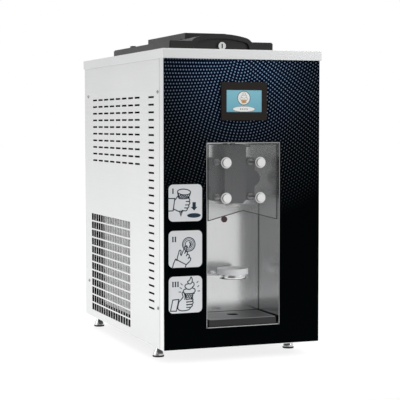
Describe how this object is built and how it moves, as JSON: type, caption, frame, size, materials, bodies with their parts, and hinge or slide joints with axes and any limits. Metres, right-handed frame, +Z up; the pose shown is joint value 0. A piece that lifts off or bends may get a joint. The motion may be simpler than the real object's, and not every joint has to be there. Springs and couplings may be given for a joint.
{
  "type": "ice cream maker",
  "caption": "Upright stainless soft-serve machine with dotted dark fascia, touch screen, shielded dispensing bay, cone holder, drip tray and lockable hopper lid.",
  "frame": {"origin": "on the floor under the middle of the bounding box, at the undersides of the feet", "axes": "+Z up; the dispensing side faces -Y; +X is to the right seen from the front"},
  "size_m": [0.44, 0.738, 0.8625],
  "materials": {
    "panel_steel": "satin",
    "bay_steel": "satin",
    "bright_metal": "polished",
    "frame_metal": "satin",
    "fascia_black": "gloss",
    "label_white": "satin",
    "bezel_dark": "satin",
    "screen_glass": "gloss",
    "lid_black": "satin",
    "black_rubber": "matte",
    "clear_plastic": "gloss",
    "knob_white": "satin",
    "head_grey": "satin",
    "food_plastic": "satin",
    "foam": "matte",
    "copper": "satin",
    "aluminium": "satin",
    "black_paint": "satin",
    "motor_paint": "satin",
    "tray_black": "satin",
    "grate_steel": "satin",
    "sensor_red": "gloss",
    "switch_red": "gloss",
    "cast_metal": "matte"
  },
  "bodies": {
    "cabinet": {"base_pan": "frame_metal", "chassis_frame": "frame_metal", "left_side_panel": "panel_steel", "right_side_panel": "panel_steel", "rear_panel": "panel_steel", "top_cap": "panel_steel", "front_frame": "panel_steel", "front_fascia": "fascia_black", "bay_liner": "bay_steel", "screen_bezel": "bezel_dark", "touch_screen": "screen_glass", "instruction_labels": "label_white", "panel_screws": "frame_metal", "hopper_tank": "bay_steel", "feed_tube": "food_plastic", "foam_insulation": "foam", "lid_hinge_brackets": "bay_steel", "lid_hinge_pin": "bay_steel", "freezing_cylinder": "bay_steel", "evaporator_coil": "copper", "dispensing_head": "head_grey", "head_studs": "bay_steel", "piston_actuator": "black_paint", "nozzle": "food_plastic", "cup_sensor": "sensor_red", "holder_bracket": "bay_steel", "holder_base": "bright_metal", "bearing_housing": "cast_metal", "drive_belt": "black_rubber", "drive_motor": "motor_paint", "compressor": "black_paint", "condenser": "aluminium", "fan_shroud": "black_paint", "fan_motor": "motor_paint", "control_box": "frame_metal", "refrigerant_pipes": "copper", "power_inlet": "tray_black"},
    "lid": {"lid_shell": "lid_black", "lid_gasket": "black_rubber"},
    "lid_lock": {"lid_lock": "bright_metal"},
    "shield": {"clear_shield": "clear_plastic"},
    "knob_1": {"hand_knob_1": "knob_white"},
    "knob_2": {"hand_knob_2": "knob_white"},
    "knob_3": {"hand_knob_3": "knob_white"},
    "knob_4": {"hand_knob_4": "knob_white"},
    "drip_tray": {"drip_tray": "tray_black"},
    "drip_grate": {"drip_grate": "grate_steel"},
    "holder_ring": {"holder_ring": "knob_white"},
    "piston": {"dispensing_piston": "food_plastic"},
    "actuator_screw": {"actuator_screw": "bay_steel"},
    "beater": {"beater": "bay_steel", "scraper_blades": "food_plastic", "driven_pulley": "cast_metal"},
    "motor_rotor": {"motor_pulley": "cast_metal"},
    "fan": {"condenser_fan": "aluminium"},
    "main_switch": {"main_switch": "switch_red"},
    "foot_front_left": {"foot_front_left": "bay_steel"},
    "foot_front_right": {"foot_front_right": "bay_steel"},
    "foot_rear_left": {"foot_rear_left": "bay_steel"},
    "foot_rear_right": {"foot_rear_right": "bay_steel"}
  },
  "joints": [
    {"name": "lid_hinge", "type": "hinge", "parent": "cabinet", "child": "lid", "pos_m": [0, 0.295, 0.809], "axis": [-1, 0, 0], "range_deg": [0, 95]},
    {"name": "lock_turn", "type": "hinge", "parent": "lid", "child": "lid_lock", "pos_m": [0, -0.214, 0.8205], "axis": [0, 1, 0], "range_deg": [0, 90]},
    {"name": "shield_slide", "type": "slide", "parent": "cabinet", "child": "shield", "axis": [0, -1, 0], "range_m": [0, 0.08]},
    {"name": "knob_turn_1", "type": "hinge", "parent": "shield", "child": "knob_1", "pos_m": [-0.0475, -0.3655, 0.5134], "axis": [0, 1, 0], "continuous": true},
    {"name": "knob_turn_2", "type": "hinge", "parent": "shield", "child": "knob_2", "pos_m": [0.0475, -0.3655, 0.5134], "axis": [0, 1, 0], "continuous": true},
    {"name": "knob_turn_3", "type": "hinge", "parent": "shield", "child": "knob_3", "pos_m": [-0.0475, -0.3655, 0.4222], "axis": [0, 1, 0], "continuous": true},
    {"name": "knob_turn_4", "type": "hinge", "parent": "shield", "child": "knob_4", "pos_m": [0.0475, -0.3655, 0.4222], "axis": [0, 1, 0], "continuous": true},
    {"name": "tray_slide", "type": "slide", "parent": "cabinet", "child": "drip_tray", "axis": [0, -1, 0], "range_m": [0, 0.11]},
    {"name": "grate_lift", "type": "slide", "parent": "drip_tray", "child": "drip_grate", "axis": [0, 0, 1], "range_m": [0, 0.05]},
    {"name": "ring_lift", "type": "slide", "parent": "cabinet", "child": "holder_ring", "axis": [0, 0, 1], "range_m": [0, 0.04]},
    {"name": "piston_lift", "type": "slide", "parent": "cabinet", "child": "piston", "axis": [0, 0, 1], "range_m": [0, 0.025]},
    {"name": "screw_turn", "type": "hinge", "parent": "cabinet", "child": "actuator_screw", "pos_m": [0, -0.2885, 0.6], "axis": [0, 0, 1], "range_deg": [-5, 1805]},
    {"name": "beater_turn", "type": "hinge", "parent": "cabinet", "child": "beater", "pos_m": [0, -0.1, 0.468], "axis": [0, 1, 0], "continuous": true},
    {"name": "motor_turn", "type": "hinge", "parent": "cabinet", "child": "motor_rotor", "pos_m": [0.105, 0.07, 0.33], "axis": [0, 1, 0], "continuous": true},
    {"name": "fan_turn", "type": "hinge", "parent": "cabinet", "child": "fan", "pos_m": [-0.14, 0.065, 0.215], "axis": [1, 0, 0], "continuous": true},
    {"name": "switch_rock", "type": "hinge", "parent": "cabinet", "child": "main_switch", "pos_m": [0.15, 0.3605, 0.142], "axis": [1, 0, 0], "range_deg": [-14, 0]},
    {"name": "foot_front_left_screw", "type": "slide", "parent": "cabinet", "child": "foot_front_left", "axis": [0, 0, -1], "range_m": [0, 0.012]},
    {"name": "foot_front_right_screw", "type": "slide", "parent": "cabinet", "child": "foot_front_right", "axis": [0, 0, -1], "range_m": [0, 0.012]},
    {"name": "foot_rear_left_screw", "type": "slide", "parent": "cabinet", "child": "foot_rear_left", "axis": [0, 0, -1], "range_m": [0, 0.012]},
    {"name": "foot_rear_right_screw", "type": "slide", "parent": "cabinet", "child": "foot_rear_right", "axis": [0, 0, -1], "range_m": [0, 0.012]}
  ],
  "couplings": [
    {"joint": "screw_turn", "follows": "piston_lift", "rad_per_m": 1256.6},
    {"joint": "motor_turn", "follows": "beater_turn", "ratio": 2.48}
  ]
}
